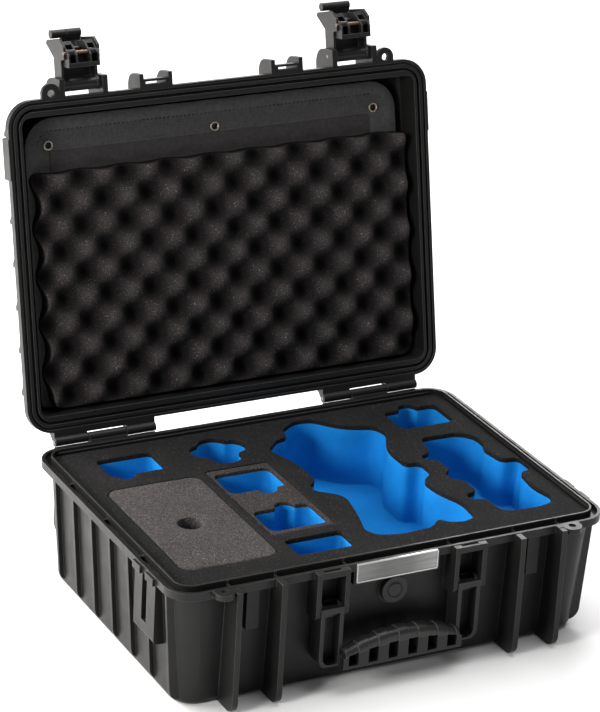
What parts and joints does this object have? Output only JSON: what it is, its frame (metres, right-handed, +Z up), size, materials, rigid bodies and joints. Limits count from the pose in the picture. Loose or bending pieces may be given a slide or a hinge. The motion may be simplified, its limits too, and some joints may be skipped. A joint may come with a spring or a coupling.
{
  "type": "drone carrying case",
  "caption": "Hard black carrying case standing open, with a foam inlay cut for a camera drone, egg-crate lid foam, a lid pocket, toggle latches and a swinging handle.",
  "frame": {"origin": "centre of the flat underside of the base", "axes": "+X to the right seen from the front, +Y to the hinged back, +Z up"},
  "size_m": [0.4764, 0.4912, 0.5225],
  "materials": {
    "case_shell": "fine textured moulded polypropylene",
    "case_fittings": "satin moulded nylon",
    "grip_rubber": "soft matte rubber",
    "steel_pins": "satin stainless steel",
    "bronze_pins": "dull bronze",
    "eyelet_metal": "polished eyelet",
    "blue_foam": "fine closed-cell foam",
    "black_foam": "open-cell foam",
    "brown_foam": "open-cell foam",
    "pocket_fabric": "woven nylon on board",
    "seal_rubber": "soft matte rubber",
    "plate_clear": "clear gloss over silver",
    "valve_plastic": "satin moulded plastic",
    "membrane": "thin white membrane"
  },
  "bodies": {
    "base": {"base_shell": "case_shell", "foam_core": "blue_foam", "foam_skin": "black_foam", "foam_bay_cover": "brown_foam", "battery_insert": "brown_foam", "name_plate": "plate_clear", "valve_housing": "valve_plastic", "valve_seal": "seal_rubber", "valve_membrane": "membrane", "valve_cap": "valve_plastic", "hinge_pin_left": "steel_pins", "hinge_pin_right": "steel_pins", "handle_pin_left": "steel_pins", "handle_pin_right": "steel_pins"},
    "lid": {"lid_shell": "case_shell", "lid_gasket": "seal_rubber", "pocket_panel": "pocket_fabric", "pocket_front": "pocket_fabric", "eyelet_left": "eyelet_metal", "eyelet_centre": "eyelet_metal", "eyelet_right": "eyelet_metal", "panel_screws": "steel_pins", "egg_crate_foam": "black_foam", "latch_pivot_pin_left": "steel_pins", "latch_pivot_pin_right": "steel_pins"},
    "handle": {"handle_frame": "case_fittings", "handle_grip": "grip_rubber"},
    "lever_left": {"latch_lever_left": "case_fittings", "hook_pin_left": "bronze_pins"},
    "hook_left": {"latch_hook_left": "case_fittings"},
    "lever_right": {"latch_lever_right": "case_fittings", "hook_pin_right": "bronze_pins"},
    "hook_right": {"latch_hook_right": "case_fittings"}
  },
  "joints": [
    {"name": "lid_hinge", "type": "hinge", "parent": "base", "child": "lid", "pos_m": [0, 0.1779, 0.1317], "axis": [1, 0, 0], "range_deg": [0, 102.3]},
    {"name": "handle_swing", "type": "hinge", "parent": "base", "child": "handle", "pos_m": [0, -0.166, 0.088], "axis": [-1, 0, 0], "range_deg": [0, 95]},
    {"name": "latch_left_swing", "type": "hinge", "parent": "lid", "child": "lever_left", "pos_m": [-0.152, 0.26378, 0.47724], "axis": [1, 0, 0], "range_deg": [-10, 90]},
    {"name": "latch_left_hook", "type": "hinge", "parent": "lever_left", "child": "hook_left", "pos_m": [-0.152, 0.26093, 0.51112], "axis": [1, 0, 0], "range_deg": [-6, 52.1]},
    {"name": "latch_right_swing", "type": "hinge", "parent": "lid", "child": "lever_right", "pos_m": [0.152, 0.26378, 0.47724], "axis": [1, 0, 0], "range_deg": [-10, 90]},
    {"name": "latch_right_hook", "type": "hinge", "parent": "lever_right", "child": "hook_right", "pos_m": [0.152, 0.26093, 0.51112], "axis": [1, 0, 0], "range_deg": [-6, 52.1]}
  ],
  "couplings": [
    {"joint": "latch_left_hook", "follows": "latch_left_swing", "ratio": 0.5778},
    {"joint": "latch_right_hook", "follows": "latch_right_swing", "ratio": 0.5778}
  ]
}
